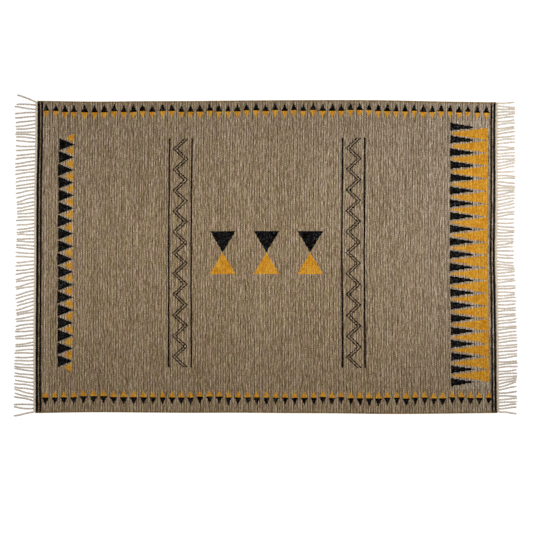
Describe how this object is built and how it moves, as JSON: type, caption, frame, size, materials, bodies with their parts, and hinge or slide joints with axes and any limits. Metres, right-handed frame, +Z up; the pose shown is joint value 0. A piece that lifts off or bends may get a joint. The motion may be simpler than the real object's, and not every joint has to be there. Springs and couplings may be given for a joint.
{
  "type": "flatweave rug",
  "caption": "Rectangular flat-woven rug that lies flat on a floor, with knotted fringe at both ends, dark end stripes, small triangle borders and sawtooth bands.",
  "frame": {"origin": "middle of the underside of the woven field, on the floor", "axes": "+X along the rug's length, +Y across its width, +Z up from the floor"},
  "size_m": [1.9388, 1.2381, 0.0051],
  "materials": {
    "woven_wool": "matte flat weave",
    "fringe_yarn": "matte twisted yarn"
  },
  "bodies": {
    "root": {"rug_field": "woven_wool", "fringe_left": "fringe_yarn", "fringe_right": "fringe_yarn"}
  },
  "joints": []
}
